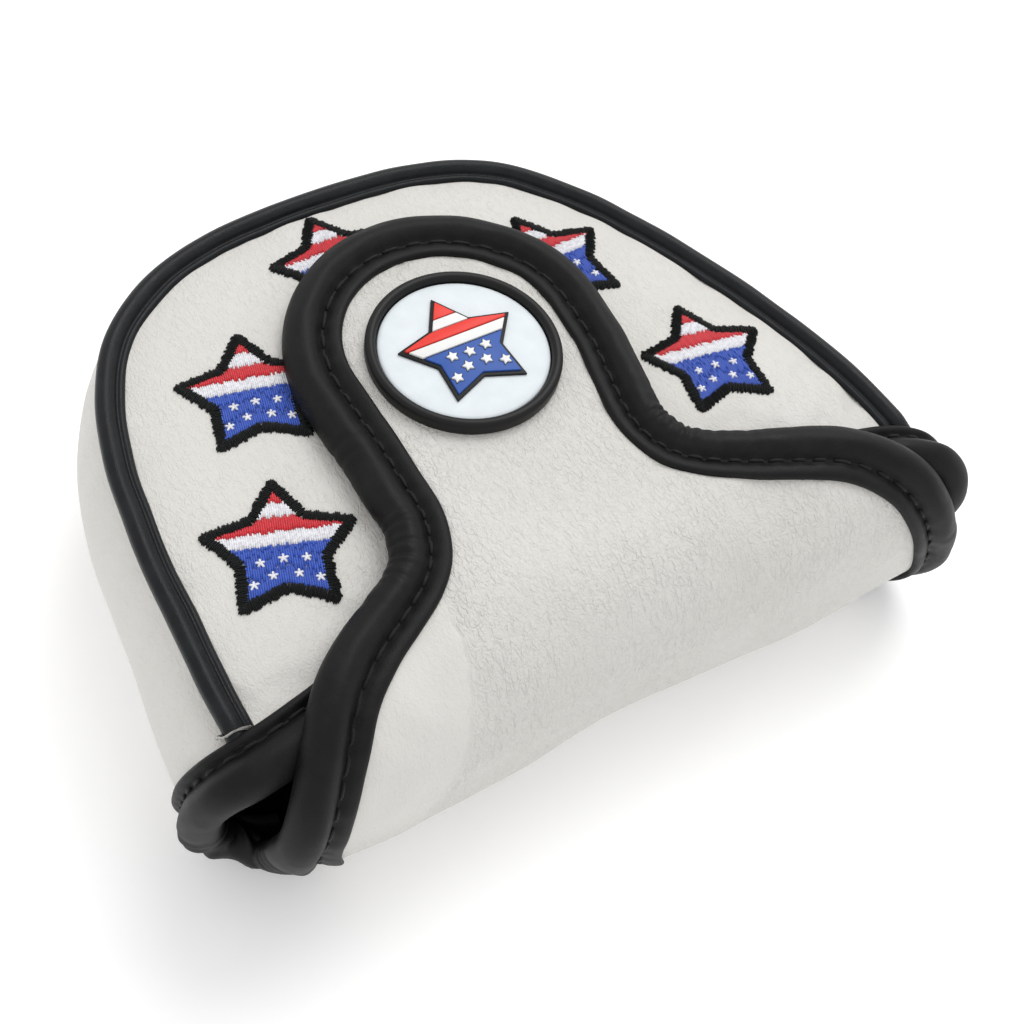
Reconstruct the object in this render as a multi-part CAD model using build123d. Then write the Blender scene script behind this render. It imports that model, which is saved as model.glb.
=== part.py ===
from build123d import *
import math

# Padded mallet-putter head cover: a D-shaped bag with a mouth along its straight
# front, and a flap that wraps up round the front and lies on top, held by a magnet.
# Millimetres. +X is to the right, +Y towards the round back, +Z up.
# The model is drawn with Y = 0 at the front ends of the top piping, and is moved at
# the end so that the origin is at the bottom centre of the whole cover.

# ---- driving dimensions -------------------------------------------------------
seam_half_width = 52.4      # top seam, at the front
seam_depth = 72.4           # top seam, front ends to the middle of the back
outline_power = 2.7         # roundness of the D outline (2 is an ellipse)
bag_height = 35.0           # outside of bottom panel to outside of top panel
side_bulge = 6.3            # how far the padded side stands out at mid height
bottom_taper = 1.4          # the bottom outline is this much smaller than the top

leather = 1.2               # thickness of the outer leather
padding = 2.0               # foam behind the leather
lining = 1.0                # soft pile lining
layer_gap = 0.05            # glue line between layers
wall = leather + padding + lining

mouth_y = -3.0              # front edge of the bag's mouth
wall_front_y = 0.5          # where the bag's layers stop inside the mouth binding
binding_width = 7.5         # from the rolled edge to the stitched inner lip
binding_proud = 1.3         # how far a binding stands off the leather
binding_skin = 0.9          # leather round the foam in the rolled edge
stitch_inset = 6.0          # stitch line, from the rolled edge
thread_width = 0.6
thread_height = 0.3

piping_width = 3.4
piping_height = 3.2
piping_core = 1.6           # thickness of the cord inside the piping

front_y = -14.3             # foremost leather of the flap
flap_top = 40.6             # height of the flap's top leather
flap_corner = 14.0          # outer radius of the two folds of the flap's front
flap_padding = 0.9
flap_lining = 1.0
flap_thickness = leather + flap_padding + flap_lining
flap_half_width = 54.0      # rolled edge to centre, at the front
flap_edge_inset = 3.0       # the flap's layers stop this far inside the rolled edge
hinge_gap = 0.3             # each side of a fold, in these stiff stand-ins
lower_fold_turn = 45.0      # the lower fold is this far round the bottom corner
upper_fold_y = 3.0          # the tongue starts here, on the flat top

tongue_radius = 24.8        # round end of the tongue
tongue_centre_y = 37.3
neck_half_width = 21.4      # at the sharp inner corner between tongue and shoulder
neck_y = 12.9
shoulder = [(37.0, 4.6), (47.0, -4.0), (52.6, -10.0)]

magnet_radius = 8.0
keeper_radius = 10.0
keeper_height = 1.0
closure_y = 34.0

badge_radius = 14.0
badge_y = 35.6
badge_base = 0.8
badge_rim_width = 1.5
badge_rim_height = 2.2
badge_face = 0.5
emblem_radius = 9.0
emblem_height = 0.9
emblem_fill = 0.45          # how far the coloured fill stands off the black base
emblem_border = 1.0         # black edge left round the coloured fill
emblem_stripe = 1.45        # one stripe; they start at the emblem's middle
emblem_stripes = 6

star_radius = 10.3          # embroidered stars on the top panel
star_waist = 0.56           # inner radius over outer radius
star_height = 0.6
star_places = [(-36.8, 20.5, -19), (-28.9, 44.3, -14), (-5.5, 60.2, 0),
               (24.2, 47.2, 4), (35.0, 21.6, -7)]   # x, y, turn in degrees

mid = bag_height / 2
back_y = seam_depth + side_bulge - bottom_taper / 2
stitch_proud = binding_proud + layer_gap + thread_height
front_edge_y = front_y - stitch_proud
to_origin = Location((0, -(back_y + front_edge_y) / 2, 0))
past_front_y = 2 * front_y  # in front of everything: shapes are cut back from here
outline_steps = 12          # steps along the D outline, from one front end to the other
far = 200.0                 # beyond the cover on every side, for cutting blocks


# ---- helpers ------------------------------------------------------------------
def save(name, shape):
    """Move a piece into the cover's own frame and write it."""
    moved = to_origin * shape
    moved.label = name
    export_step(moved, f"parts/{name}.step")


def block(x=(-far, far), y=(-far, far), z=(-far, far)):
    """A box between two limits on each axis."""
    size = [hi - lo for lo, hi in (x, y, z)]
    centre = [(hi + lo) / 2 for lo, hi in (x, y, z)]
    return Pos(*centre) * Box(*size)


def section(z, inset):
    """The bag's D outline at one height, as a face."""
    bulge = side_bulge * (1 - ((z - mid) / mid) ** 2)
    grow = bulge - bottom_taper * (1 - z / bag_height) - inset
    a = seam_half_width + grow
    b = seam_depth + grow
    points = []
    for i in range(outline_steps + 1):
        t = math.pi * i / outline_steps
        c = math.cos(t)
        x = math.copysign(abs(c) ** (2 / outline_power), c) * a
        points.append((x, abs(math.sin(t)) ** (2 / outline_power) * b))
    round_back = Spline(*points, tangents=[(0, 1), (0, -1)])
    straight = Polyline((-a, 0), (-a, past_front_y), (a, past_front_y), (a, 0))
    return Pos(0, 0, z) * make_face(Wire([round_back.edge(), *straight.edges()]))


def bag(inset):
    """The bag's outside, solid, moved inwards by inset."""
    heights = (inset, mid, bag_height - inset)
    return loft([section(z, inset) for z in heights])


def flap_outline(inset):
    """Plan of the flap from its front to the end of the tongue."""
    r = tongue_radius
    rise = tongue_centre_y - neck_y
    lean = math.atan2(r - neck_half_width, rise)
    side = (r * math.cos(lean), tongue_centre_y - r * math.sin(lean))
    right = [(flap_half_width, past_front_y), (flap_half_width, front_y), *reversed(shoulder)]
    right += [(neck_half_width, neck_y), side]
    left = [(-x, y) for x, y in reversed(right)]
    head = ThreePointArc(right[-1], (0, tongue_centre_y + r), left[0])
    lower = Polyline(*left, *right)
    face = make_face(Wire([head.edge(), *lower.edges()]))
    if inset:
        face = offset(face, amount=-inset, kind=Kind.INTERSECTION)
    return face


def flap_plan(inset, low, high):
    """The flap's plan as a solid between two heights."""
    return Pos(0, 0, low) * extrude(flap_outline(inset), high - low)


def fold(depth):
    """The wrapped flap seen from the side, solid, moved inwards by depth."""
    length = 4 * flap_corner    # long enough to hide the far ends inside the cut
    shape = RectangleRounded(length - 2 * depth, flap_top - 2 * depth, flap_corner - depth)
    shape = Plane.YZ * Pos(front_y + length / 2, flap_top / 2) * shape
    return extrude(shape, far / 2, both=True)


def beyond_lower_fold(low, high):
    """Space between two distances past the lower fold's plane, along the flap."""
    corner = (0, front_y + flap_corner, flap_corner)
    return Pos(*corner) * Rot(lower_fold_turn, 0, 0) * block(z=(low, high))


def lip_layer(outer, inner, inset):
    """One layer of the flap's root, from the bag's bottom to the lower fold."""
    half = flap_half_width - inset
    ring = (fold(outer) - fold(inner)) & block(x=(-half, half), y=(-far, wall_front_y), z=(0, far))
    return ring & beyond_lower_fold(-far, -hinge_gap)


def front_layer(outer, inner, inset):
    """One layer of the flap's front, between two depths, from fold to fold."""
    ring = (fold(outer) - fold(inner)) & beyond_lower_fold(hinge_gap, far)
    half = flap_half_width - inset
    middle = flap_top / 2
    upper = ring & block(y=(-far, upper_fold_y - hinge_gap), z=(middle, far))
    upper = upper & flap_plan(inset, middle, flap_top + far)
    lower = ring & block(x=(-half, half), y=(-far, 0), z=(0, middle))
    return upper + lower


def tongue_layer(outer, inner, inset):
    """One flat layer of the tongue, between two depths below its top."""
    plate = flap_plan(inset, flap_top - inner, flap_top - outer)
    return plate & block(y=(upper_fold_y + hinge_gap, far))


def star(radius, waist, turn, low, high):
    """A five-pointed star as a plate."""
    points = []
    for i in range(10):
        r = radius if i % 2 == 0 else radius * waist
        a = math.radians(90 + 36 * i + turn)
        points.append((r * math.cos(a), r * math.sin(a)))
    return Pos(0, 0, low) * extrude(make_face(Polyline(*points, close=True)), high - low)


def disc(radius, low, high):
    return Pos(0, 0, (low + high) / 2) * Cylinder(radius, high - low)


# ---- bag: three layers, each with a bottom, a side and a top ---------------------
def layer_parts(start, end):
    """Bottom plate with the flap's root, side wall and top plate of one layer."""
    rear = (wall_front_y, far)
    top_z = bag_height - end
    outside = bag(start)
    bottom = outside & block(y=rear, z=(start, end))
    bottom = bottom + lip_layer(start, end, flap_edge_inset)
    top = outside & block(y=rear, z=(top_z, bag_height - start))
    side = (outside - bag(end)) & block(y=rear, z=(end, top_z))
    return bottom, side, top


def make_bag():
    leather_end = leather
    padding_start = leather_end + layer_gap
    padding_end = leather + padding
    lining_start = padding_end + layer_gap

    bottom, side, top = layer_parts(0, leather_end)
    save("bottom_panel", bottom)
    save("side_gusset", side)
    save("top_panel", top)

    bottom, side, top = layer_parts(padding_start, padding_end)
    seat_low = bag_height - padding_start - keeper_height - layer_gap
    seat = Pos(0, closure_y, 0) * disc(keeper_radius + layer_gap, seat_low, bag_height)
    save("bottom_padding", bottom)
    save("gusset_padding", side)
    save("top_padding", top - seat)

    bottom, side, top = layer_parts(lining_start, wall)
    save("bottom_lining", bottom)
    save("gusset_lining", side)
    save("top_lining", top)

    keeper_top = bag_height - padding_start
    keeper = disc(keeper_radius, keeper_top - keeper_height, keeper_top)
    save("keeper_plate", Pos(0, closure_y, 0) * keeper)


def make_piping():
    """Piping round the top seam: a cord in a sewn leather strip."""
    low = bag_height - leather / 2
    reach = piping_width / 2
    rear = (wall_front_y + binding_width, far)

    def ring(half, bottom, top):
        outer = section(bag_height, -half)
        inner = section(bag_height, half)
        return Pos(0, 0, bottom - bag_height) * extrude(outer - inner, top - bottom)

    seam_z = bag_height + layer_gap
    strip = ring(reach, seam_z, low + piping_height)
    core_top = seam_z + (piping_height - leather / 2 + piping_core) / 2
    core = ring(piping_core / 2, core_top - piping_core, core_top) & block(y=rear)
    save("top_piping", (strip & block(y=rear)) - core)
    save("piping_cord", core)


def make_mouth_binding():
    """Leather folded over the bag's front edge, on the sides and the top."""
    clear_z = flap_thickness + 2 * binding_proud
    y_range = (mouth_y, mouth_y + binding_width)
    collar = (bag(-binding_proud) - bag(wall + binding_proud)) & block(y=y_range, z=(clear_z, far))
    edge = (bag(0) - bag(wall)) & block(y=(wall_front_y, far))
    skin = binding_skin - binding_proud
    foam = (bag(skin) - bag(wall - skin))
    foam = foam & block(y=(mouth_y + binding_skin, wall_front_y), z=(clear_z + binding_skin, far))
    save("mouth_binding", collar - edge - foam)
    save("mouth_binding_foam", foam)
    seat = binding_proud + layer_gap
    stitch_y = mouth_y + stitch_inset
    line = (bag(-seat - thread_height) - bag(-seat))
    line = line & block(y=(stitch_y, stitch_y + thread_width), z=(clear_z, far))
    save("mouth_stitching", line)


def make_embroidery():
    for number, (x, y, turn) in enumerate(star_places, start=1):
        low = bag_height + layer_gap
        plate = star(star_radius, star_waist, turn, low, low + star_height)
        save(f"embroidered_star_{number}", Pos(x, y, 0) * plate)


# ---- flap: its front, and the tongue that lies on top ---------------------------
def flap_layers():
    """Start depth, end depth and name of each layer of the flap."""
    foam = leather + layer_gap
    pile = leather + flap_padding + layer_gap
    return [(0, leather, "leather"), (foam, leather + flap_padding, "padding"),
            (pile, flap_thickness, "lining")]


def rolled_edge(layer, under):
    """Binding and foam core along the edge of the flap, for one body's layer function."""
    roll = layer(-binding_proud, under, 0) - layer(-binding_proud, under, binding_width)
    seat = flap_edge_inset - layer_gap
    top = binding_skin - binding_proud
    bottom = under - binding_skin
    foam = layer(top, bottom, binding_skin) - layer(top, bottom, seat)
    return roll - layer(0, flap_thickness, seat) - foam, foam


def make_lip_binding():
    """Binding on the two short edges between the bag's bottom and the lower fold."""
    under = wall + binding_proud / 2
    roll = lip_layer(-binding_proud, under, 0) - lip_layer(-binding_proud, under, binding_width)
    roll = roll & block(y=(-far, wall_front_y - layer_gap))
    save("lip_binding", roll - lip_layer(0, wall, flap_edge_inset - layer_gap))


def make_flap():
    edge = flap_edge_inset
    under = flap_thickness + binding_proud / 2
    for start, end, name in flap_layers():
        save(f"front_{name}", front_layer(start, end, edge))
        piece = tongue_layer(start, end, edge)
        if name == "padding":
            piece = piece - Pos(0, closure_y, 0) * disc(magnet_radius + layer_gap, 0, far)
        save(f"tongue_{name}", piece)

    roll, foam = rolled_edge(front_layer, under)
    save("front_binding_left", roll & block(x=(-far, 0)))
    save("front_binding_right", roll & block(x=(0, far)))
    save("front_binding_foam", foam)
    roll, foam = rolled_edge(tongue_layer, under)
    save("tongue_binding", roll)
    save("tongue_binding_foam", foam)

    low = -binding_proud - layer_gap
    high = low - thread_height
    inner = stitch_inset + thread_width
    line = front_layer(high, low, stitch_inset) - front_layer(high, low, inner)
    save("front_stitching", line)
    line = tongue_layer(high, low, stitch_inset) - tongue_layer(high, low, inner)
    save("tongue_stitching", line)

    low = flap_top - leather - flap_padding
    magnet = disc(magnet_radius, low, low + flap_padding - layer_gap)
    save("closure_magnet", Pos(0, closure_y, 0) * magnet)


def make_badge():
    """Moulded rubber patch on the tongue, with a raised rim and emblem."""
    place = Pos(0, badge_y, flap_top)
    base_top = layer_gap + badge_base
    base = disc(badge_radius, layer_gap, base_top)
    rim = disc(badge_radius, base_top, badge_rim_height)
    rim = rim - disc(badge_radius - badge_rim_width, 0, badge_rim_height)
    save("badge_base", place * (base + rim))
    face_top = base_top + badge_face
    inner = badge_radius - badge_rim_width - layer_gap
    face = disc(inner, base_top, face_top)
    save("badge_face", place * face)

    emblem_top = face_top + emblem_height
    plate = star(emblem_radius, star_waist, 0, face_top, emblem_top - emblem_fill)
    save("badge_emblem_base", place * plate)
    low = emblem_top - emblem_fill
    fill = star(emblem_radius - emblem_border, star_waist, 0, low, emblem_top)
    save("badge_blue_field", place * (fill & block(y=(-far, 0))))
    red = []
    white = []
    for i in range(emblem_stripes):
        y = emblem_stripe * i
        piece = fill & block(y=(y, y + emblem_stripe))
        target = white if i % 2 == 0 else red
        target.extend(piece.solids())
    save("badge_red_stripes", Compound(children=[place * s for s in red]))
    save("badge_white_stripes", Compound(children=[place * s for s in white]))


make_bag()
make_piping()
make_mouth_binding()
make_embroidery()
make_lip_binding()
make_flap()
make_badge()
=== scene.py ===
# %% [markdown]
# # A padded head cover for a mallet putter
# The cover is a D-shaped bag of white synthetic leather with a wide flap. The flap grows out
# of the bottom panel, wraps up round the front and ends in a tongue that lies on the top.
# Black piping sits in the top seam, and thick black binding, rolled over foam, runs round the
# mouth and the flap. This lesson builds every sewn part on the frame that the CAD gives.

# %% Load the frame
import math
import random

import bpy
import numpy as np
from mathutils import Matrix, Vector, noise
from mathutils.bvhtree import BVHTree


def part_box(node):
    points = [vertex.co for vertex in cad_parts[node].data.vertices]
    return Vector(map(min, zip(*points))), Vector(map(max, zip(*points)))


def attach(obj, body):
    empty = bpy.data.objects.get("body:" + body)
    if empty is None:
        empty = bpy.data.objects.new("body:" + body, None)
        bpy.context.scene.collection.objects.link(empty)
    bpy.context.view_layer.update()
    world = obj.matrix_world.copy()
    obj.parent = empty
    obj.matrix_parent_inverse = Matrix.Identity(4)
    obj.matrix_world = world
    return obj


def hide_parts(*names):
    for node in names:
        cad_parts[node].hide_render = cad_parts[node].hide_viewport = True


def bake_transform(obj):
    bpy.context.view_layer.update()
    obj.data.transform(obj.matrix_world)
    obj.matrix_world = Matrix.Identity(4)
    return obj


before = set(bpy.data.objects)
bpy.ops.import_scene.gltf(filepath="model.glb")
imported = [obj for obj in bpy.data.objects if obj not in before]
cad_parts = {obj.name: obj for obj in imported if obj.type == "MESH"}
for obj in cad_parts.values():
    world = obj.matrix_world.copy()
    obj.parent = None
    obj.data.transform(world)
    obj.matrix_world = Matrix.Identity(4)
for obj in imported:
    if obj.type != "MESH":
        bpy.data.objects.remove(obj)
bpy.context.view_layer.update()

random.seed(7)

# %% [markdown]
# ## Working in millimetres
# A sewing pattern is drawn in millimetres, so the shapes here are too. The pattern's own
# origin is on the floor, on the centre line, level with the front ends of the top piping.
# `at` turns a pattern point into a point of the frame, in metres. The main measures are read
# from the frame's own parts, so that the soft pieces fit them.

# %% Pattern measures
MM = 0.001
seam_line_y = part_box("side_gusset")[0].y - 0.5 * MM


def at(x, y, z):
    """A pattern point, in millimetres, as a point of the frame."""
    return Vector((x * MM, seam_line_y + y * MM, z * MM))


def corners(node):
    """The lowest and the highest corner of a CAD node, in pattern millimetres."""
    return [Vector((c.x, c.y - seam_line_y, c.z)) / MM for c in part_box(node)]


piping_width = 3.4
seam_half_width = corners("top_piping")[1].x - piping_width / 2
bag_height = corners("top_panel")[1].z
flap_top = corners("tongue_leather")[1].z
nose_y = corners("front_leather")[0].y
print("bag height", round(bag_height, 1), "flap top", round(flap_top, 1))

# %% [markdown]
# ## Helpers for curves
# Soft outlines are drawn through a few chosen points. `through` runs a smooth Catmull-Rom
# curve through them, and `evenly` spaces points along any line at equal steps, which keeps
# the faces of a swept piece the same size.


# %% Curve helpers
def between(a, b, c, d, steps):
    """Points from b towards c, on the smooth curve that also passes through a and d."""
    return [0.5 * (2 * b + (c - a) * t + (2 * a - 5 * b + 4 * c - d) * t * t
                   + (3 * b - a - 3 * c + d) * t ** 3) for t in (i / steps for i in range(steps))]


def through(points, steps):
    """A smooth line through the points, with a number of steps between each two."""
    pts = [Vector(p) for p in points]
    pts = [2 * pts[0] - pts[1]] + pts + [2 * pts[-1] - pts[-2]]
    line = []
    for a, b, c, d in zip(pts, pts[1:], pts[2:], pts[3:]):
        line += between(a, b, c, d, steps)
    return line + [pts[-2].copy()]


def closed_section(points, steps=4):
    """A smooth closed section through the points, without repeating the first."""
    pts = [Vector(p) for p in points]
    line = []
    for i in range(len(pts)):
        line += between(*(pts[(i + k) % len(pts)] for k in (-1, 0, 1, 2)), steps)
    return line


def evenly(line, count):
    """The line again, as count + 1 points at equal distances along it."""
    flat = np.array([list(p) for p in line])
    run = np.r_[0, np.cumsum(np.linalg.norm(np.diff(flat, axis=0), axis=1))]
    want = np.linspace(0, run[-1], count + 1)
    return np.stack([np.interp(want, run, flat[:, k]) for k in range(flat.shape[1])], 1)


def length_of(line):
    flat = np.array([list(p) for p in line])
    return float(np.linalg.norm(np.diff(flat, axis=0), axis=1).sum())


def ease(t):
    """0 before 0, 1 after 1, and smooth between."""
    t = min(1.0, max(0.0, t))
    return t * t * (3 - 2 * t)


def ripple(x, y, z, size, seed=0.0):
    """Smooth noise from -1 to 1, with bumps about size millimetres across."""
    return noise.noise(Vector((x / size + seed, y / size, z / size)))


print("curve helpers ready")

# %% [markdown]
# ## Helpers for sheets
# Every panel starts as a grid primitive. A grid is flat and square, so its vertices are then
# put where the pattern says: `u` runs across it and `v` along it. A tube is the same grid,
# rolled up and merged along its edge. Solidify gives the leather its thickness, and it is
# applied, so that the mesh that is left is what a viewer gets.


# %% Sheet helpers
def only(piece):
    """Select one piece and nothing else."""
    bpy.ops.object.select_all(action="DESELECT")
    piece.select_set(True)
    bpy.context.view_layer.objects.active = piece


def grid_piece(name, across, along, surface):
    """A grid with its vertices put at surface(u, v), a pattern point in millimetres."""
    bpy.ops.object.select_all(action="DESELECT")
    bpy.ops.mesh.primitive_grid_add(x_subdivisions=across, y_subdivisions=along, size=2)
    piece = bpy.context.object
    piece.name = name
    piece.data.name = name
    for vertex in piece.data.vertices:
        u, v = (vertex.co.x + 1) / 2, (vertex.co.y + 1) / 2
        vertex.co = at(*surface(u, v))
    return piece


def edit(piece, *steps):
    """Run edit-mode operators on all of a piece."""
    only(piece)
    bpy.ops.object.mode_set(mode="EDIT")
    bpy.ops.mesh.select_all(action="SELECT")
    for step in steps:
        step()
    bpy.ops.object.mode_set(mode="OBJECT")


def merge():
    bpy.ops.mesh.remove_doubles(threshold=0.00002)


def close_ends():
    bpy.ops.mesh.fill_holes(sides=0)


def face_out():
    bpy.ops.mesh.normals_make_consistent(inside=False)


def face_up_or_out(piece, outward):
    """Turn an open sheet's faces over if they look against outward, a rough direction."""
    total = Vector((0, 0, 0))
    for face in piece.data.polygons:
        total += face.normal * face.area
    if total.dot(Vector(outward)) < 0:
        edit(piece, bpy.ops.mesh.flip_normals)


def modify(piece, kind, **settings):
    """Add a modifier, set it and apply it."""
    only(piece)
    modifier = piece.modifiers.new(kind.title(), kind)
    for key, value in settings.items():
        setattr(modifier, key, value)
    bpy.ops.object.modifier_apply(modifier=modifier.name)


def smooth(piece, angle):
    only(piece)
    bpy.ops.object.shade_smooth_by_angle(angle=math.radians(angle))


def finished(piece, key, angle):
    """Smooth a piece and give it its one finish."""
    smooth(piece, angle)
    piece.data.materials.clear()
    piece.data.materials.append(finish[key])
    print(f"{piece.name}: {len(piece.data.polygons)} faces")
    return piece


print("sheet helpers ready")

# %% [markdown]
# ## Leather, thread and rubber
# The white leather is a coated cloth with a fine pebble: small rounded cells with soft
# valleys, broken here and there by longer creases. The black binding leather is smoother.
# All patterns read Object coordinates, scaled so that one unit is one millimetre.


# %% Material helpers
class Field:
    """A node's output, which can be added, taken away and multiplied like a number."""

    def __init__(self, socket):
        self.socket = socket
        self.tree = socket.id_data

    def mixed(self, operation, other):
        node = add(self.tree, "ShaderNodeMath", operation=operation)
        wire(self, node.inputs[0])
        wire(other, node.inputs[1])
        return Field(node.outputs[0])

    def __add__(self, other):
        return self.mixed("ADD", other)

    def __sub__(self, other):
        return self.mixed("SUBTRACT", other)

    def __mul__(self, other):
        return self.mixed("MULTIPLY", other)


def wire(value, socket):
    """Link a field to a socket, or put a plain number there."""
    if isinstance(value, Field):
        value.tree.links.new(value.socket, socket)
    else:
        socket.default_value = value


def add(tree, kind, **values):
    """Add a node and set its properties and sockets by name."""
    node = tree.nodes.new(kind)
    for key, value in values.items():
        if hasattr(node, key):
            setattr(node, key, value)
        else:
            node.inputs[key.replace("_", " ").title()].default_value = value
    return node


def stretched(place, scale, turn=0.0):
    node = add(place.tree, "ShaderNodeMapping", scale=scale, rotation=(0, 0, turn))
    wire(place, node.inputs["Vector"])
    return Field(node.outputs["Vector"])


def new_material(name, colour, roughness, specular):
    """A material, its shader, and Object coordinates with one unit to the millimetre."""
    material = bpy.data.materials.new(name)
    material.use_nodes = True
    tree = material.node_tree
    shader = tree.nodes["Principled BSDF"]
    shader.inputs["Base Color"].default_value = (*colour, 1)
    shader.inputs["Roughness"].default_value = roughness
    shader.inputs["Specular IOR Level"].default_value = specular
    where = Field(add(tree, "ShaderNodeTexCoord").outputs["Object"])
    return material, shader, stretched(where, (1 / MM, 1 / MM, 1 / MM))


def noise_of(place, scale, detail=3.0, roughness=0.5, output="Fac"):
    node = add(place.tree, "ShaderNodeTexNoise", scale=scale, detail=detail, roughness=roughness)
    wire(place, node.inputs["Vector"])
    return Field(node.outputs[output])


def warped(place, scale, amount):
    """The same coordinates, pushed about by noise, so that cells are less regular."""
    push = add(place.tree, "ShaderNodeVectorMath", operation="SCALE")
    push.inputs["Scale"].default_value = amount
    wire(noise_of(place, scale, 2.0, output="Color"), push.inputs[0])
    total = add(place.tree, "ShaderNodeVectorMath", operation="ADD")
    wire(place, total.inputs[0])
    wire(Field(push.outputs[0]), total.inputs[1])
    return Field(total.outputs[0])


def cells(place, scale):
    node = add(place.tree, "ShaderNodeTexVoronoi", feature="DISTANCE_TO_EDGE", scale=scale)
    wire(place, node.inputs["Vector"])
    return Field(node.outputs["Distance"])


def remap(value, low_in, high_in, low_out=0.0, high_out=1.0):
    node = add(value.tree, "ShaderNodeMapRange", from_min=low_in, from_max=high_in,
               to_min=low_out, to_max=high_out)
    wire(value, node.inputs["Value"])
    return Field(node.outputs["Result"])


def bump(shader, height, distance, strength):
    node = add(height.tree, "ShaderNodeBump", strength=strength, distance=distance * MM)
    wire(height, node.inputs["Height"])
    wire(Field(node.outputs["Normal"]), shader.inputs["Normal"])


def tint(shader, factor, dark, light, low_stop=0.3, high_stop=0.7):
    """Colour that goes from dark to light with a factor."""
    ramp = add(factor.tree, "ShaderNodeValToRGB")
    for stop, position, colour in zip(ramp.color_ramp.elements, (low_stop, high_stop),
                                      (dark, light)):
        stop.position = position
        stop.color = (*colour, 1)
    wire(factor, ramp.inputs["Fac"])
    wire(Field(ramp.outputs["Color"]), shader.inputs["Base Color"])


def darker(colour, share):
    return tuple(c * share for c in colour)


print("material helpers ready")


# %% White pebbled leather
fold_line = -38.1


def white_leather(name, depth, pebble_scale, crease=False):
    """depth is how deep the pebble is, and pebble_scale how many cells to a millimetre.
    With crease, a fold line runs up the flap: smooth leather left of it, wrinkled right."""
    material, shader, place = new_material(name, (0.72, 0.705, 0.675), 0.5, 0.3)
    bent = warped(stretched(place, (1.5, 0.75, 0.75), math.radians(14)), 0.7, 1.6)
    cracks = remap(cells(bent, pebble_scale), 0.0, 0.16)
    fine_cracks = remap(cells(warped(place, 1.3, 0.7), pebble_scale * 1.9), 0.0, 0.26)
    broken = remap(noise_of(bent, 0.8, 2.0), 0.36, 0.54)
    patch = remap(noise_of(place, 0.07, 2.0), 0.38, 0.62, 0.6, 1.0)
    wrinkle = noise_of(bent, 0.9, 7.0, 0.68)
    relief = cracks * broken * patch + fine_cracks * 0.42 + wrinkle * 2.2
    if crease:
        split = add(place.tree, "ShaderNodeSeparateXYZ")
        wire(place, split.inputs[0])
        across, height = Field(split.outputs["X"]), Field(split.outputs["Z"])
        from_fold = across + height * -0.4 + noise_of(place, 0.3, 4.0) * 1.6
        in_reach = remap(height, 9.0, 20.0) * remap(height, 40.0, 41.5, 1.0, 0.0)
        fold = remap(from_fold, fold_line - 0.4, fold_line)
        fold = fold * remap(from_fold, fold_line, fold_line + 0.5, 1.0, 0.0) * in_reach
        right = remap(from_fold, fold_line, fold_line + 1.2)
        relief = relief * right.mixed("MAXIMUM", remap(in_reach, 0.0, 1.0, 1.0, 0.3))
        relief = relief - fold * 1.1
    bump(shader, relief, 0.11 * depth, 0.8)
    # Painted shade in part: the colour is darker in the valleys of the wrinkles, where shade
    # falls, and it also changes in broad random patches of tone.
    tone_and_crease_shade = noise_of(place, 0.045) * 0.8 + wrinkle * 0.25
    tint(shader, tone_and_crease_shade, (0.61, 0.595, 0.56), (0.665, 0.65, 0.62), 0.2, 0.75)
    wire(remap(wrinkle, 0.3, 0.7, 0.46, 0.58), shader.inputs["Roughness"])
    return material


# %% Black leather
def black_leather(name, roughness, colour=(0.005, 0.005, 0.005), gloss=0.18):
    """Smooth coated leather, with a very fine grain and slightly paler scuffs."""
    material, shader, place = new_material(name, colour, roughness, gloss)
    grain = remap(cells(warped(place, 0.5, 0.8), 2.6), 0.0, 0.25)
    bump(shader, grain + noise_of(place, 5.0), 0.035, 0.4)
    scuff = noise_of(place, 0.25, 5.0, 0.65)
    tint(shader, scuff, colour, tuple(c * 1.7 + 0.002 for c in colour), 0.45, 0.75)
    wire(remap(scuff, 0.3, 0.7, roughness - 0.06, roughness + 0.08), shader.inputs["Roughness"])
    return material


# %% Cloth, thread, rubber and steel
def pile_cloth(name, colour):
    """Short soft pile: speckled, matte, with a little sheen at the edges."""
    material, shader, place = new_material(name, colour, 0.95, 0.1)
    shader.inputs["Sheen Weight"].default_value = 0.15
    shader.inputs["Sheen Roughness"].default_value = 0.4
    tuft = noise_of(place, 3.5, 4.0, 0.7)
    bump(shader, tuft, 0.25, 0.9)
    tint(shader, tuft, darker(colour, 0.5), colour, 0.35, 0.65)
    return material


def thread(name, colour, roughness=0.42, gloss=0.5):
    """Rayon thread: glossy along its length, with a fine twist across it."""
    material, shader, place = new_material(name, colour, roughness, gloss)
    shader.inputs["Sheen Weight"].default_value = 0.4 * gloss
    bump(shader, noise_of(place, 7.0, 2.0), 0.05, 0.7)
    tint(shader, noise_of(place, 2.3, 2.0), darker(colour, 0.72), colour, 0.3, 0.6)
    return material


def rubber(name, colour, roughness=0.5, gloss=0.35):
    """Moulded soft rubber, nearly smooth, with a slight orange peel."""
    material, shader, place = new_material(name, colour, roughness, gloss)
    bump(shader, noise_of(place, 1.8), 0.03, 0.5)
    tint(shader, noise_of(place, 0.4), darker(colour, 0.93), colour)
    return material


def metal(name, colour):
    """Thin plated steel with fine drawing lines."""
    material, shader, place = new_material(name, colour, 0.35, 0.5)
    shader.inputs["Metallic"].default_value = 1.0
    bump(shader, noise_of(place, 4.0, 2.0), 0.01, 0.3)
    tint(shader, noise_of(place, 0.3, 2.0), darker(colour, 0.9), colour)
    return material


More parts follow.
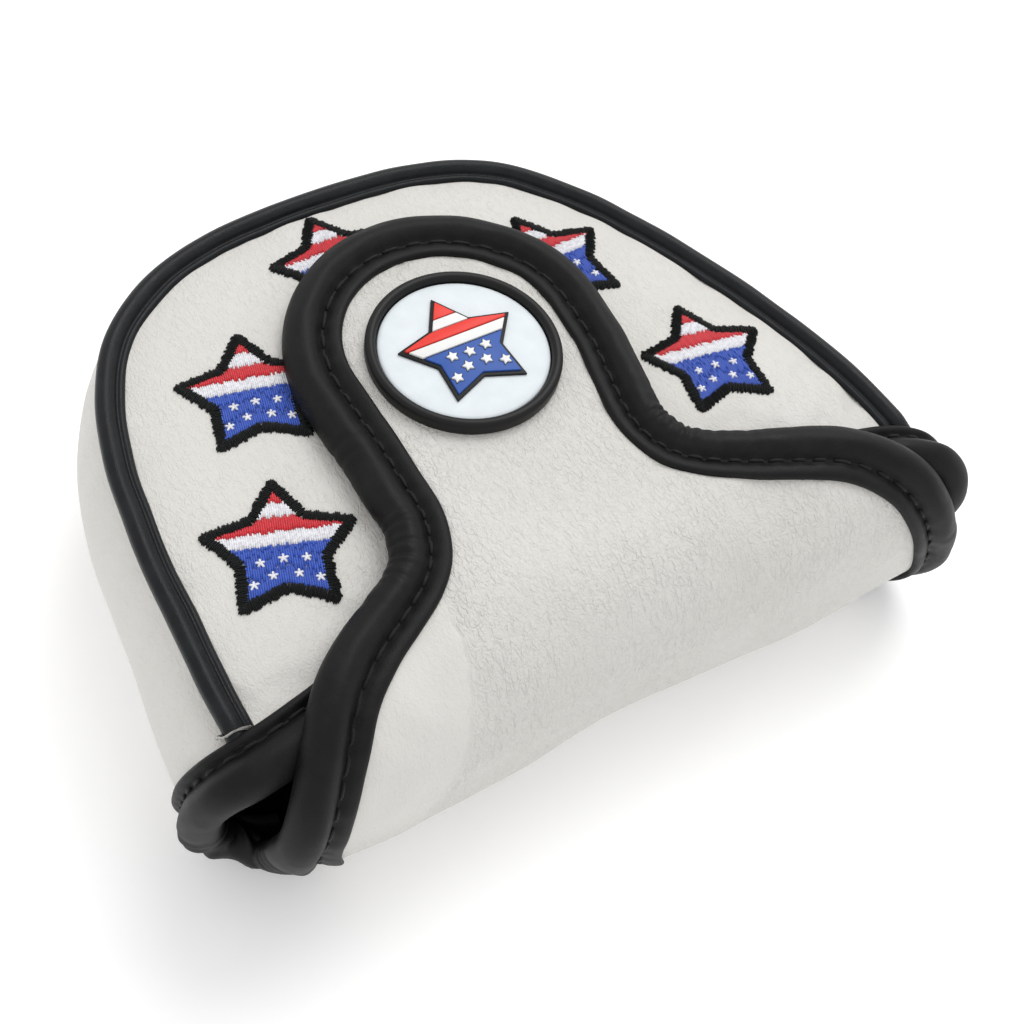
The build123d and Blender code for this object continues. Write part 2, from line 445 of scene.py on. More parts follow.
# %% Finishes
finish = {
    "panel": white_leather("white_leather_panel", 0.6, 1.0),
    "flap": white_leather("white_leather_flap", 1.25, 0.85, True),
    "binding": black_leather("black_binding_leather", 0.5),
    "piping": black_leather("black_piping_leather", 0.38, (0.005, 0.006, 0.007), 0.21),
    "stitch": thread("black_sewing_thread", (0.006, 0.006, 0.006), 0.6, 0.2),
    "lining": pile_cloth("dark_pile_lining", (0.010, 0.010, 0.011)),
    "thread_black": thread("embroidery_black", (0.004, 0.005, 0.005), 0.5, 0.2),
    "thread_red": thread("embroidery_red", (0.62, 0.010, 0.022)),
    "thread_white": thread("embroidery_white", (0.80, 0.80, 0.84)),
    "thread_blue": thread("embroidery_blue", (0.016, 0.075, 0.46)),
    "rubber_black": rubber("rubber_black", (0.006, 0.006, 0.006), 0.45, 0.25),
    "rubber_face": rubber("rubber_pale_face", (0.70, 0.75, 0.78)),
    "rubber_white": rubber("rubber_white", (0.80, 0.80, 0.79)),
    "rubber_red": rubber("rubber_red", (0.75, 0.035, 0.022), 0.45),
    "rubber_blue": rubber("rubber_blue", (0.022, 0.085, 0.36), 0.45),
    "steel": metal("plated_steel", (0.55, 0.56, 0.58)),
}
print("finishes:", ", ".join(finish))

# %% [markdown]
# ## The bag's outline
# Seen from above the bag is a D, with its flat side at the mouth. The CAD model's D is true.
# A sewn bag never is: this one's back bulges a little and leans to the left, and its right
# front corner stands out. The points say where the seam really runs, from the left front
# end round the back to the right front end. `seam` holds points along it, and `seam_out`
# the direction that faces outwards at each.

# %% The D outline
seam_steps = 200
seam_points = [
    (-52.2, 0.0), (-52.2, 7.5), (-52.0, 15.5), (-51.5, 24.0), (-50.7, 32.8), (-49.2, 42.5),
    (-46.2, 52.8), (-40.2, 62.5), (-31.0, 69.6), (-20.8, 73.1), (-11.0, 74.5), (-2.4, 74.9),
    (6.0, 74.8), (13.7, 74.0), (21.1, 71.9), (27.5, 68.2), (32.6, 63.0), (36.8, 57.3),
    (40.2, 51.2), (43.5, 44.5), (46.5, 37.2), (49.8, 28.8), (52.7, 18.8), (54.7, 7.5),
    (55.3, 0.0),
]
seam = evenly(through(seam_points, 12), seam_steps)
along_seam = np.gradient(seam, axis=0)
along_seam /= np.linalg.norm(along_seam, axis=1)[:, None]
seam_out = np.stack([-along_seam[:, 1], along_seam[:, 0]], 1)


def seam_at(u):
    """Point and outward direction at a share u of the seam."""
    place = u * seam_steps
    i = min(int(place), seam_steps - 1)
    t = place - i
    point = seam[i] * (1 - t) + seam[i + 1] * t
    out = seam_out[i] * (1 - t) + seam_out[i + 1] * t
    return point, out / np.linalg.norm(out)


print("seam length", round(length_of(seam)), "mm")

# %% [markdown]
# ## The mouth's edge
# The mouth isn't cut square. Its edge is scooped back in the middle of the top, and its
# corners reach forwards and stand out, because the binding is stiff and the bag is empty.
# The right corner is pushed out further than the left one. The points go once round the
# edge, from the bottom left over the top to the bottom right. Each is: across, height, and
# how far back the binding's inner lip is.

# %% The mouth's edge
mouth_points = [
    (-47.0, 2.9, -0.8), (-49.5, 2.9, 0.0), (-52.5, 3.3, 1.8), (-55.6, 4.8, 4.0),
    (-58.0, 8.5, 4.8), (-59.3, 14.0, 4.0), (-59.7, 20.0, 2.8), (-59.2, 27.0, 1.3),
    (-56.8, 32.6, 0.1), (-53.0, 35.4, -0.4), (-49.0, 36.2, -0.1), (-45.0, 36.4, 0.6),
    (-40.2, 36.3, 1.8), (-36.0, 36.1, 4.2), (-31.5, 36.0, 6.9), (-24.0, 35.9, 8.4),
    (0.0, 35.9, 8.6), (24.0, 35.9, 8.4), (31.5, 36.0, 6.9), (38.0, 36.2, 4.8),
    (45.0, 36.5, 2.4), (50.5, 36.6, 0.8), (54.2, 36.5, -0.8), (57.8, 35.2, -2.8),
    (60.4, 32.0, -4.6), (61.4, 27.0, -5.4), (61.0, 20.0, -4.2), (59.8, 13.0, -1.2),
    (57.6, 7.6, 1.2), (54.0, 4.2, 1.8), (50.5, 3.0, 0.6), (47.5, 2.9, -0.6),
]
mouth_steps = 320
mouth = evenly(through(mouth_points, 10), mouth_steps)
mouth_length = length_of(mouth[:, :2])


def mouth_station(x, z):
    """The station of the mouth's edge that is nearest to a place on the bag."""
    gap = (mouth[:, 0] - x) ** 2 + (mouth[:, 1] - z) ** 2
    return int(np.argmin(gap))


def mouth_lip(x, z):
    """How far back the binding's lip is, nearest to a place on the bag's edge."""
    return float(mouth[mouth_station(x, z), 2])


corner_stations = {-1: (mouth_station(-53.0, 3.6), mouth_station(-51.6, 36.4)),
                   1: (mouth_station(53.0, 3.6), mouth_station(54.6, 36.2))}
tuck_in = 1.4


def mouth_hem(side, share):
    """Where a panel's front edge is tucked under the lip: share 0 is the bottom, 1 the top."""
    first, last = corner_stations[side]
    place = first + (last - first) * share
    i = min(max(int(place), 0), mouth_steps - 1)
    point = mouth[i] + (mouth[i + 1] - mouth[i]) * (place - i)
    depth = 0.85 + 1.5 * ease((share - 0.82) / 0.18) + 0.7 * ease((0.2 - share) / 0.2)
    inwards = Vector((-point[0], 18 - point[1])).normalized() * depth
    return point[0] + inwards.x, point[2] - tuck_in, min(point[1] + inwards.y, bag_height - 0.3)


print("mouth edge", round(mouth_length), "mm")

# %% [markdown]
# ## Letting padded panels settle
# A padded panel is cut a little larger than the space it is sewn into, and the spare leather
# shows as soft swells and small puckers beside the seams. Cloth simulation finds them: the
# rim is pinned, the sheet grows by its spare share, and a light pressure stands for the
# foam. Blender's cloth is tuned for things a metre across, so the panel is made larger for
# the simulation and then small again. Beside the seams the moves fade out, so that the
# leather stays under the piping and the bindings.

# %% Cloth helper
cloth_scale = 20.0
cloth_frames = 20


def relax(piece, spare, push, most, flat=None):
    """Let a panel settle as cloth with spare material, held at its seams and pushed out by
    its padding. No point ends more than most millimetres from where it began. Where flat
    is given, the points it picks are held too."""
    only(piece)
    mesh = piece.data
    start = np.array([list(v.co) for v in mesh.vertices])
    middle = start.mean(0)
    uses = {}
    for face in mesh.polygons:
        for edge in face.edge_keys:
            uses[edge] = uses.get(edge, 0) + 1
    held = {i for edge, count in uses.items() if count == 1 for i in edge}
    if flat:
        held |= {i for i, place in enumerate(start) if flat(Vector(place))}
    piece.vertex_groups.new(name="held").add(sorted(held), 1.0, "REPLACE")
    mesh.vertices.foreach_set("co", ((start - middle) * cloth_scale).ravel())
    modifier = piece.modifiers.new("Cloth", "CLOTH")
    cloth = modifier.settings
    cloth.quality = 5
    cloth.mass = 0.15
    cloth.tension_stiffness = cloth.compression_stiffness = 20
    cloth.shear_stiffness = 10
    cloth.bending_stiffness = 1.5
    cloth.vertex_group_mass = "held"
    cloth.use_pressure = True
    cloth.uniform_pressure_force = push
    cloth.shrink_min = cloth.shrink_max = -spare
    cloth.effector_weights.gravity = 0
    modifier.collision_settings.use_collision = False
    modifier.point_cache.frame_end = cloth_frames
    for frame_number in range(1, cloth_frames + 1):
        bpy.context.scene.frame_set(frame_number)
    bpy.ops.object.modifier_apply(modifier=modifier.name)
    bpy.context.scene.frame_set(1)
    move = np.array([list(v.co) for v in mesh.vertices]) / cloth_scale + middle - start
    pairs = np.array([edge.vertices[:] for edge in mesh.edges])
    neighbours = np.bincount(pairs.ravel(), minlength=len(start))[:, None]

    def blur(values):
        total = np.zeros_like(values)
        np.add.at(total, pairs[:, 0], values[pairs[:, 1]])
        np.add.at(total, pairs[:, 1], values[pairs[:, 0]])
        return total / neighbours

    free = np.ones((len(start), 1))
    free[sorted(held)] = 0
    loose = free
    for step in range(8):
        loose = blur(loose) * free
        if step < 4:
            move = 0.5 * move + 0.5 * blur(move)
    size = np.linalg.norm(move, axis=1)[:, None] / MM
    move = move * most / (most + size) * np.clip(loose * 1.6 - 0.6, 0, 1)
    size = np.linalg.norm(move, axis=1) / MM
    mesh.vertices.foreach_set("co", (start + move).ravel())
    mesh.update()
    piece.vertex_groups.clear()
    print(f"{piece.name}: settled, up to {float(size.max()):.2f} mm")


print("cloth helper ready")

# %% [markdown]
# ## Side gusset
# One long strip of padded leather runs round the bag from one end of the mouth to the other.
# It is sewn to the top and the bottom, so it bulges between them. The grid's `u` follows the
# seam and `v` goes up the strip. Close to both seams the leather puckers a little.


# %% Side gusset
side_bulge = 5.7
mouth_flare = 2.3
panel_thickness = 2.4
length_of_seam = length_of(seam)


def side_surface(u, v, depth=0.0):
    point, out = seam_at(u)
    run = u * length_of_seam
    end = min(run, length_of_seam - run)
    swell = side_bulge + mouth_flare * ease(1 - end / 26)
    rise = abs(2 * v - 0.98)
    bulge = swell * (1 - min(1.0, rise) ** 2.3) - 1.4 * (1 - v) - depth
    pucker = 0.20 * math.sin(run / 1.15 + 2.5 * ripple(run, 0, v * 9, 9)) * max(0.0, 2 * v - 1.35)
    soft = 0.35 * ripple(run, 0, v * 34, 17, 3.0)
    x, y = point + out * (bulge + pucker + soft)
    z = 0.6 + depth + v * (bag_height - 1.0 - 2 * depth)
    hem = mouth_hem(-1 if u < 0.5 else 1, v)
    reach = ease((15 - end) / 12)
    inward = Vector((-hem[0], 18 - hem[2])).normalized() * depth
    x = x + reach * (hem[0] + inward.x - x)
    z = z + reach * (hem[2] + inward.y - z)
    y = y + reach * (hem[1] + 0.8 * depth - y)
    return x, y, z


def make_sheet(name, across, along, surface, thickness, key, outward, settle=None, merged=True):
    """A sheet of leather or cloth. settle is what relax is told, for a padded panel."""
    piece = grid_piece(name, across, along, surface)
    if merged:
        edit(piece, merge)
    face_up_or_out(piece, outward)
    if settle:
        relax(piece, *settle)
    modify(piece, "SOLIDIFY", thickness=thickness * MM, offset=-1.0)
    return finished(piece, key, 40)


gusset = make_sheet("side_gusset_leather", 260, 28, side_surface, panel_thickness, "panel",
                    (0, 1, 0), (0.02, 1.0, 0.7), merged=False)

# %% [markdown]
# ## Top panel
# The top panel is foam-backed leather held in the seam all round, so it rises quickly from
# the seam and then stays nearly flat. The grid is stretched between the mouth's edge and
# the D outline.


# %% Top panel
def panel_height(x, y):
    """Height of the top panel's leather."""
    from_seam = float(np.sqrt(((seam - (x, y)) ** 2).sum(1).min()))
    rim = math.exp(-from_seam / 5.5)
    puff = 1.15 * (1 - rim) + 0.7 * ease(from_seam / 32)
    pinch = 0.14 * math.sin((x * 0.9 + y * 0.5) / 1.1) * ripple(x, y, 0, 6) * rim
    soft = 0.22 * ripple(x, y, 0, 14, 5.0)
    height = bag_height - 0.55 + puff + pinch + soft
    station = mouth_station(x, 36.5)
    under_lip = mouth[station, 1] - 1.35
    behind = (y - mouth[station, 2] + tuck_in) / 4.5
    under_lip = min(under_lip, height)
    return under_lip + (height - under_lip) * ease(behind)


def across_bag(front, edge, v, crowding):
    """A place between the mouth and the seam, with rows closer together near the seam."""
    share = 1 - (1 - v) ** crowding
    return [f * (1 - share) + e * share for f, e in zip(front, edge)]


def top_surface(u, v, depth=0.0):
    point, out = seam_at(u)
    x_front = seam_half_width * (2 * u - 1)
    front = (x_front, mouth_lip(x_front, bag_height + 1.5) - tuck_in)
    x, y = across_bag(front, point - out * (0.2 + depth), v, 1.6)
    return x, y, panel_height(x, y) - depth


top = make_sheet("top_panel_leather", 190, 70, top_surface, panel_thickness, "panel",
                 (0, 0, 1), (0.02, 1.0, 0.6), merged=False)

# %% [markdown]
# ## How the flap is wrapped
# The flap's centre line, seen from the side, runs forward along the bottom, round the front
# and back over the top. `wrap` walks `s` millimetres along it from the foremost point, up
# being positive, and gives the place and the outward direction.

# %% The wrap
fold_radius = 17.0
half_height = flap_top / 2
flat_front = half_height - fold_radius
quarter = fold_radius * math.pi / 2
top_start = flat_front + quarter


def wrap(s):
    """(y, z, outward y, outward z) at a run s along the flap's centre line."""
    side = 1 if s >= 0 else -1
    run = abs(s)
    if run <= flat_front:
        return nose_y, half_height + s, -1.0, 0.0
    if run <= top_start:
        turn = (run - flat_front) / fold_radius
        out_y, out_z = -math.cos(turn), math.sin(turn)
        return (nose_y + fold_radius + fold_radius * out_y,
                half_height + side * (flat_front + fold_radius * out_z), out_y, side * out_z)
    return nose_y + fold_radius + run - top_start, half_height + side * half_height, 0.0, side


def run_of(y):
    """The run s of a place y on the flap's flat top."""
    return top_start + y - nose_y - fold_radius


tongue_end = run_of(54.8)
head_radius = 16.1
head_run = tongue_end - head_radius


lean_table = np.array([list(p) for p in through([
    (-44, 0.0), (-30, 1.5), (-18, 5.6), (-9, 6.3), (-4.6, 5.4), (0, 4.3), (4, 3.4), (10, 2.8),
    (16, 2.3), (21, 1.1), (26, -0.8), (34, -1.6), (46, -1.2), (60, 0.4), (84, 0.8)], 6)])


def lean(s):
    """The flap lies a little askew: its front sits to the right, its neck to the left."""
    return float(np.interp(s, lean_table[:, 0], lean_table[:, 1]))


badge_low, badge_high = corners("badge_base")
badge_centre = (badge_low + badge_high) / 2
badge_run = run_of(badge_centre.y)


def flap_lift(x, s):
    """How far the flap's leather stands off its pattern surface. It's flat under the badge."""
    over_mouth = 1.3 * ease((abs(x) - 26) / 16) * ease(1 - abs(s - 24) / 17)
    droop = -0.9 * ease((s - 34) / 52) - 0.5 * (min(abs(x), 30) / 30) ** 2 * ease((s - 40) / 15)
    soft = 0.35 * ripple(x, s, 0, 15, 8.0) + 0.10 * ripple(x, s, 0, 5, 2.0)
    arch = -1.7 * math.exp(-((x - 4) / 17) ** 2) * ease(1 - abs(s + 3) / 27)
    corner = 0.6 * math.exp(-((x - 39) / 9) ** 2) * ease(1 - abs(s + 8) / 20)
    side = 1.0 if x < 0 else 0.05
    drawn_in = -0.9 * side * ease((abs(x) - 33) / 12) * ease(1 - abs(s + 10) / 18)
    lift = over_mouth + droop + arch + corner + drawn_in + soft * ease((s + 34) / 10)
    under_badge = ease((17.5 - math.hypot(x - badge_centre.x, s - badge_run)) / 4)
    return lift + (-0.15 - lift) * under_badge


def flap_point(x, s, out=0.0):
    """Pattern point of the flap at x across and s along, out millimetres off the leather."""
    y, z, out_y, out_z = wrap(s)
    off = out + flap_lift(x, s)
    ground = 0.02 * (1 + abs(out))
    if out_z < 0:
        off = min(off, (z - ground) / -out_z)
    return x, y + out_y * off, max(z + out_z * off, ground)


print("flap, foremost point to tongue end:", round(tongue_end), "mm")

# %% [markdown]
# ## The flap's outline
# `lip_line` is the inner edge of the black binding, where the white leather ends: up the sides,
# in over the shoulders, a tight turn into the neck, and round the tongue's head. Half of it
# is drawn through listed points, its head is a true arc, and the other half is its mirror image.
# Then the whole of it leans as the real one does.

# %% The lip line
half_lip = through([
    (43.0, -44.0), (46.5, -30.0), (49.4, -19.0), (49.6, -10.0), (49.6, -4.6), (48.8, 0.5),
    (47.2, 6.0), (45.1, 11.0), (42.2, 16.0), (37.6, 20.9), (31.5, 24.5), (26.0, 27.3),
    (21.1, 30.2), (17.4, 33.7), (15.2, 38.0), (14.3, 43.0), (14.9, 50.5), (15.8, 58.5),
], 10)
head = [(head_radius * math.cos(a), head_run + head_radius * math.sin(a))
        for a in np.linspace(0.0, math.pi / 2, 30)]
half_lip = [(p.x, p.y) for p in half_lip] + head
lip_line = [(-x, s) for x, s in half_lip] + half_lip[-2::-1]
lip_line = [(x + lean(s), s) for x, s in lip_line]
half_lip_table = np.array(half_lip)


def lip_half_width(s):
    """Half the width of the white leather at a run s."""
    return float(np.interp(s, half_lip_table[:, 1], half_lip_table[:, 0]))


print("lip line", round(length_of(lip_line)), "mm")

# %% [markdown]
# ## Flap leather
# On the real cover the flap is one sheet with the bottom panel. The two folds are joints
# here, and a piece can bend across one joint only, so the sheet is cut straight across the
# foremost line, where it is flat and both halves move together: the cut can't be seen.


# %% Flap leather
tuck = 1.5
flap_thickness = 1.3
root_run = -44


def upper_surface(u, v, depth=0.0):
    s = v * (tongue_end + tuck)
    half = lip_half_width(min(s, tongue_end)) + tuck * (1 - ease((s - tongue_end + 4) / 5.5))
    if s > tongue_end:
        half = 0.2
    return flap_point((2 * u - 1) * half + lean(s), s, -depth)


def lower_surface(u, v, depth=0.0):
    """From the bag's bottom seam line to the foremost line of the flap."""
    s = root_run * (1 - v)
    half = lip_half_width(s) + tuck
    return flap_point((2 * u - 1) * half + lean(s), s, -depth)


badge_spot = at(badge_centre.x, badge_centre.y, flap_top)


def flat_under_badge(place):
    return (place - badge_spot).length < 15.5 * MM


flap_upper = make_sheet("flap_upper_leather", 80, 110, upper_surface, flap_thickness, "flap",
                        (0, -0.3, 1), (0.012, 0.3, 0.5, flat_under_badge))
flap_lower = make_sheet("flap_lower_leather", 80, 60, lower_surface, flap_thickness, "flap",
                        (0, -1, -1))


# %% Flap lining
flap_lining_depth = 1.8
lining_thickness = 1.2


def deeper(surface, depth):
    """The same surface, depth millimetres further in."""
    return lambda u, v: surface(u, v, depth)


def lining(name, across, along, surface, outward):
    return make_sheet(name, across, along, surface, lining_thickness, "lining", outward)


flap_lining_upper = lining("flap_upper_lining", 60, 80, deeper(upper_surface, flap_lining_depth),
                           (0, -0.3, 1))
flap_lining_lower = lining("flap_lower_lining", 60, 40, deeper(lower_surface, flap_lining_depth),
                           (0, -1, -1))

# %% [markdown]
# ## Bottom panel
# The bottom is a flat D of the same leather. It carries the cover on the table, so it is
# the lowest thing there is. It runs forward to meet the flap's root, and its edge is turned
# up into the gusset's seam.


# %% Bottom panel
root_half_width = 46.0


def bottom_surface(u, v):
    point, out = seam_at(u)
    x, y = across_bag((root_half_width * (2 * u - 1), -1.0), point - out * 1.2, v, 1.5)
    rise = 0.9 * ease((v - 0.9) / 0.1)
    return x, y, 0.03 + rise + 0.05 * (1 + ripple(x, y, 0, 18))


bottom = make_sheet("bottom_panel_leather", 120, 46, bottom_surface, 1.4, "panel", (0, 0, -1))

# %% [markdown]
# ## Linings of the bag
# Inside, every wall is faced with dark pile cloth. Each lining is its panel's surface again,
# moved inwards, and only its rim and depth can be seen through the mouth.


# %% Bag linings
lining_depth = 3.0


def bottom_lining_surface(u, v):
    x, y, z = bottom_surface(u, v)
    return x * 0.985, y, z + lining_depth


top_lining = lining("top_lining_cloth", 90, 30, deeper(top_surface, lining_depth), (0, 0, 1))
side_lining = lining("gusset_lining_cloth", 120, 14, deeper(side_surface, lining_depth), (0, 1, 0))
bottom_lining = lining("bottom_lining_cloth", 80, 30, bottom_lining_surface, (0, 0, -1))

# %% [markdown]
# ## Piping in the top seam
# Piping is a cord folded into a narrow strip of leather, and the strip's edges are caught in
# the seam. From outside one sees the fat roll of the cord and, beside it on the panel, the
# thin ridge where the strip is stitched down. Both are one section, swept along the seam.


# %% Sweep helper
def sweep(name, stations, section, place, key):
    """A tube: place(i, k) is the pattern point of section point k at station i."""
    def surface(u, v):
        return place(round(u * stations), round(v * len(section)) % len(section))

    piece = grid_piece(name, stations, len(section), surface)
    edit(piece, merge, close_ends, face_out)
    return finished(piece, key, 60)


# %% Piping
piping_section = closed_section([
    (-1.4, 0.05), (-1.1, 1.1), (0.0, 1.6), (1.05, 1.1), (1.4, 0.55), (1.65, 0.42),
    (2.0, 0.5), (2.4, 0.3), (2.6, -0.2), (2.0, -0.6), (1.1, -1.1), (0.0, -1.4), (-1.0, -1.0),
])
piping_stations = 420


def piping_place(i, k):
    u = i / piping_stations
    point, out = seam_at(u)
    run = u * length_of_seam
    end = min(u, 1 - u) * length_of_seam
    dive = ease(1 - end / 9.0)
    wobble = 1 + 0.05 * ripple(run, 0, 0, 7, 1.0)
    across, rise = piping_section[k] * wobble
    across = -across
    x, y = point + out * (across + 0.25 * ripple(run, 3, 0, 12))
    y = y + dive * (mouth_lip(point[0], bag_height + 1.5) - 1.4)
    return x, y, bag_height + 0.2 + rise - 1.0 * ease(1 - end / 3.5)


piping = sweep("top_piping_strip", piping_stations, piping_section, piping_place, "piping")

# %% [markdown]
# ## Rolled binding
# The binding is a strip of soft black leather folded over the edge and over a strip of foam.
# Its section has three parts: a thin lip on the white leather, a sunk stitch line, and a fat
# roll that goes round the edge to the back. In the section, `across` is 0 at the lip and
# grows outwards, and `rise` is 0 at the leather's surface.

# %% Binding section
stitch_across = 1.9
roll_start = 2.2
flap_lip_extra = 0.8
binding_section = closed_section([
    (0.0, -0.4), (0.02, 0.55), (0.45, 0.98), (1.05, 0.92), (1.55, 0.52), (1.95, 0.34),
    (2.35, 0.60), (3.1, 1.35), (4.3, 1.95), (5.6, 1.75), (6.9, 0.75), (7.55, -0.8),
    (7.3, -2.4), (6.2, -3.6), (4.6, -3.95), (3.0, -3.6), (1.9, -3.3), (0.8, -3.55), (0.0, -3.2),
])
stitch_pitch = 3.1


def shaped(point, run, swell, seed):
    """A section point with the roll swollen or slack, and the stitch line pulled down."""
    across, rise = point
    weight = ease((across - roll_start) / 1.5)
    across = across + (across - roll_start) * (swell - 1) * weight
    rise = rise + (rise + 1.1) * (swell - 1) * weight
    near = math.exp(-((across - stitch_across) / 0.7) ** 2)
    if rise > -1:
        rise -= near * 0.22 * (0.5 + 0.5 * math.cos(2 * math.pi * run / stitch_pitch))
        rise += 0.10 * ripple(run, across * 2, seed, 3.5) * weight
    return across, rise


print("binding section", len(binding_section), "points")

# %% [markdown]
# ## Binding round the flap
# The section is swept along the lip line. At every station the outward direction is found
# in the flap's own surface, before wrapping, so the binding bends round the front with the
# leather. In the tight turns at the neck the roll is gathered and creases.

# %% Flap binding path
flap_steps = 620
flap_path = evenly(lip_line, flap_steps)
flap_run = length_of(flap_path) / flap_steps
path_way = np.gradient(flap_path, axis=0)
path_way /= np.linalg.norm(path_way, axis=1)[:, None]
path_out = np.stack([-path_way[:, 1], path_way[:, 0]], 1)
cut_low = int(np.argmin(np.abs(flap_path[: flap_steps // 2, 1])))
cut_high = flap_steps // 2 + int(np.argmin(np.abs(flap_path[flap_steps // 2:, 1])))
turn_rate = np.gradient(np.unwrap(np.arctan2(path_way[:, 1], path_way[:, 0]))) / flap_run
print("cuts at stations", cut_low, cut_high)


def flap_binding_point(i, across, rise):
    """Pattern point at station i, across outwards and rise off the leather."""
    across = across + flap_lip_extra * ease(across / stitch_across)
    x, s = flap_path[i] + path_out[i] * across
    curl = (0.42 if x < 0 else 0.04) * across * ease(1 - abs(s + 9) / 20)
    return flap_point(x, s, rise - curl)


def flap_binding_place(i, k):
    run = i * flap_run
    hollow = max(0.0, turn_rate[i]) * 8
    swell = 1 + 0.05 * ripple(run, 0, 0, 16, 4.0) - 0.10 * min(1.0, hollow)
    across, rise = shaped(binding_section[k], run, swell, 1.0)
    gather = min(1.0, hollow) * ease((across - 2.4) / 3)
    if rise > -1:
        rise += 0.32 * gather * math.sin(run / 0.42 + 2 * ripple(run, 0, 0, 3))
    return flap_binding_point(i, across, rise)


# %% Flap binding
def flap_binding(name, first, last):
    return sweep(name, last - first, binding_section,
                 lambda i, k: flap_binding_place(first + i, k), "binding")


binding_left = flap_binding("flap_binding_left", 0, cut_low)
binding_tongue = flap_binding("flap_binding_tongue", cut_low, cut_high)
binding_right = flap_binding("flap_binding_right", cut_high, flap_steps)

# %% [markdown]
# ## Binding round the mouth
# The same section, along the mouth's edge. Here the lip lies on the outside of the bag and
# the roll faces forwards. At the bottom corners the strip is turned sharply and wrinkles.

# %% Mouth binding
mouth_way = np.gradient(mouth[:, :2], axis=0)
mouth_way /= np.linalg.norm(mouth_way, axis=1)[:, None]
mouth_out = np.stack([-mouth_way[:, 1], mouth_way[:, 0]], 1)
mouth_run = mouth_length / mouth_steps


def mouth_binding_point(i, across, rise):
    x, z = mouth[i, :2] + mouth_out[i] * (rise - 0.5)
    return x, mouth[i, 2] - across, max(z, 0.3)


def mouth_binding_place(i, k):
    run = i * mouth_run
    end = min(i, mouth_steps - i) * mouth_run
    corner = ease(1 - abs(end - 12) / 14)
    swell = 1 + 0.06 * ripple(run, 5, 0, 14, 2.0) + 0.05 * corner
    across, rise = shaped(binding_section[k], run, swell, 2.0)
    fold = corner * ease((across - 2.2) / 3)
    rise += 0.55 * fold * math.sin(run / 0.75 + 3 * ripple(run, across, 0, 6, 9.0))
    across += 0.5 * fold * ripple(run, 7, 0, 4, 3.0)
    return mouth_binding_point(i, across, rise)


mouth_binding = sweep("mouth_binding_roll", mouth_steps, binding_section, mouth_binding_place,
                      "binding")

# %% [markdown]
# ## Stitches
# A stitch is a short grain of thread, thick in the middle, whose ends go down into the
# leather. One grain is modelled, from a sphere, and then copied to each place along a line.
# The same grain serves for the embroidery.

# %% One stitch
bpy.ops.object.select_all(action="DESELECT")
bpy.ops.mesh.primitive_uv_sphere_add(segments=6, ring_count=6, radius=1.0)
grain = bpy.context.object
grain.name = "stitch_grain"
for vertex in grain.data.vertices:
    along = vertex.co.z
    fuller = 1.0
    if abs(along) < 0.99:
        fuller = min(1.6, math.sqrt((1 - abs(along) ** 5) / (1 - along * along)))
    vertex.co = Vector((along, vertex.co.x * fuller, vertex.co.y * fuller))
grain_points = np.array([list(v.co) for v in grain.data.vertices])
grain_faces = [list(p.vertices) for p in grain.data.polygons]
bpy.data.objects.remove(grain)
print("grain:", len(grain_faces), "faces")


def copy_grain(name, places):
    """One mesh of many stitches. A place is start, end, up, width, height, material index."""
    points, faces, kinds = [], [], []
    for start, end, up, width, height, kind in places:
        start, end = np.array(start), np.array(end)
        way = end - start
        size = np.linalg.norm(way)
        way = way / size
        side = np.cross(up, way)
        side /= np.linalg.norm(side)
        rise = np.cross(way, side)
        local = grain_points * (size / 2, width / 2, height / 2)
        sunk = -0.35 * height * grain_points[:, 0] ** 4
        shape = (start + end) / 2 + np.outer(local[:, 0], way) + np.outer(local[:, 1], side)
        shape = shape + np.outer(local[:, 2] + sunk, rise)
        base = len(points) * len(grain_points)
        faces += [[base + n for n in face] for face in grain_faces]
        kinds += [kind] * len(grain_faces)
        points.append(shape)
    points = np.concatenate(points)
    data = bpy.data.meshes.new(name)
    data.from_pydata([at(*p) for p in points], [], faces)
    data.polygons.foreach_set("material_index", kinds)
    piece = bpy.data.objects.new(name, data)
    bpy.context.scene.collection.objects.link(piece)
    edit(piece, face_out)
    return piece


# %% Sewn lines
def sewn_line(name, first, last, point, run_step):
    """Stitches along the sunk line of a binding, between two stations. Where the binding
    rests on the ground they are pressed in flush, and are left out."""
    places = []
    count = int((last - first) * run_step / stitch_pitch)
    offset = math.ceil(first * run_step / stitch_pitch)
    for n in range(count):
        begin = ((offset + n + 0.14) * stitch_pitch) / run_step
        finish_at = ((offset + n + 0.86) * stitch_pitch) / run_step
        if finish_at > last:
            break
        a = np.array(point(int(round(begin)), stitch_across, 0.42))
        b = np.array(point(int(round(finish_at)), stitch_across, 0.42))
        if min(a[2], b[2]) < 0.4:
            continue
        up = np.array(point(int(round(begin)), stitch_across, 1.42)) - a
        places.append((a, b, up, 0.55, 0.5, 0))
    return finished(copy_grain(name, places), "stitch", 80)


stitches_left, stitches_tongue, stitches_right = (
    sewn_line(f"flap_stitches_{side}", first, last, flap_binding_point, flap_run)
    for side, first, last in (("left", 0, cut_low), ("tongue", cut_low, cut_high),
                              ("right", cut_high, flap_steps)))
stitches_mouth = sewn_line("mouth_stitches", 0, mouth_steps, mouth_binding_point, mouth_run)

# %% [markdown]
# ## Embroidered stars
# Each star is worked as an embroidery machine does it. The threads of the fill lie side by
# side, up and down the star: red and white stripes above, blue below with small white stars.
# Then a band of satin stitch, square to the edge, covers the fill's ends in black. The
# stitches' ends are never quite level, and that gives the edges their ragged look.

# %% Star geometry
star_radius = 10.0
star_waist = 0.58
star_turns = [-19, -14, 0, 4, -7]


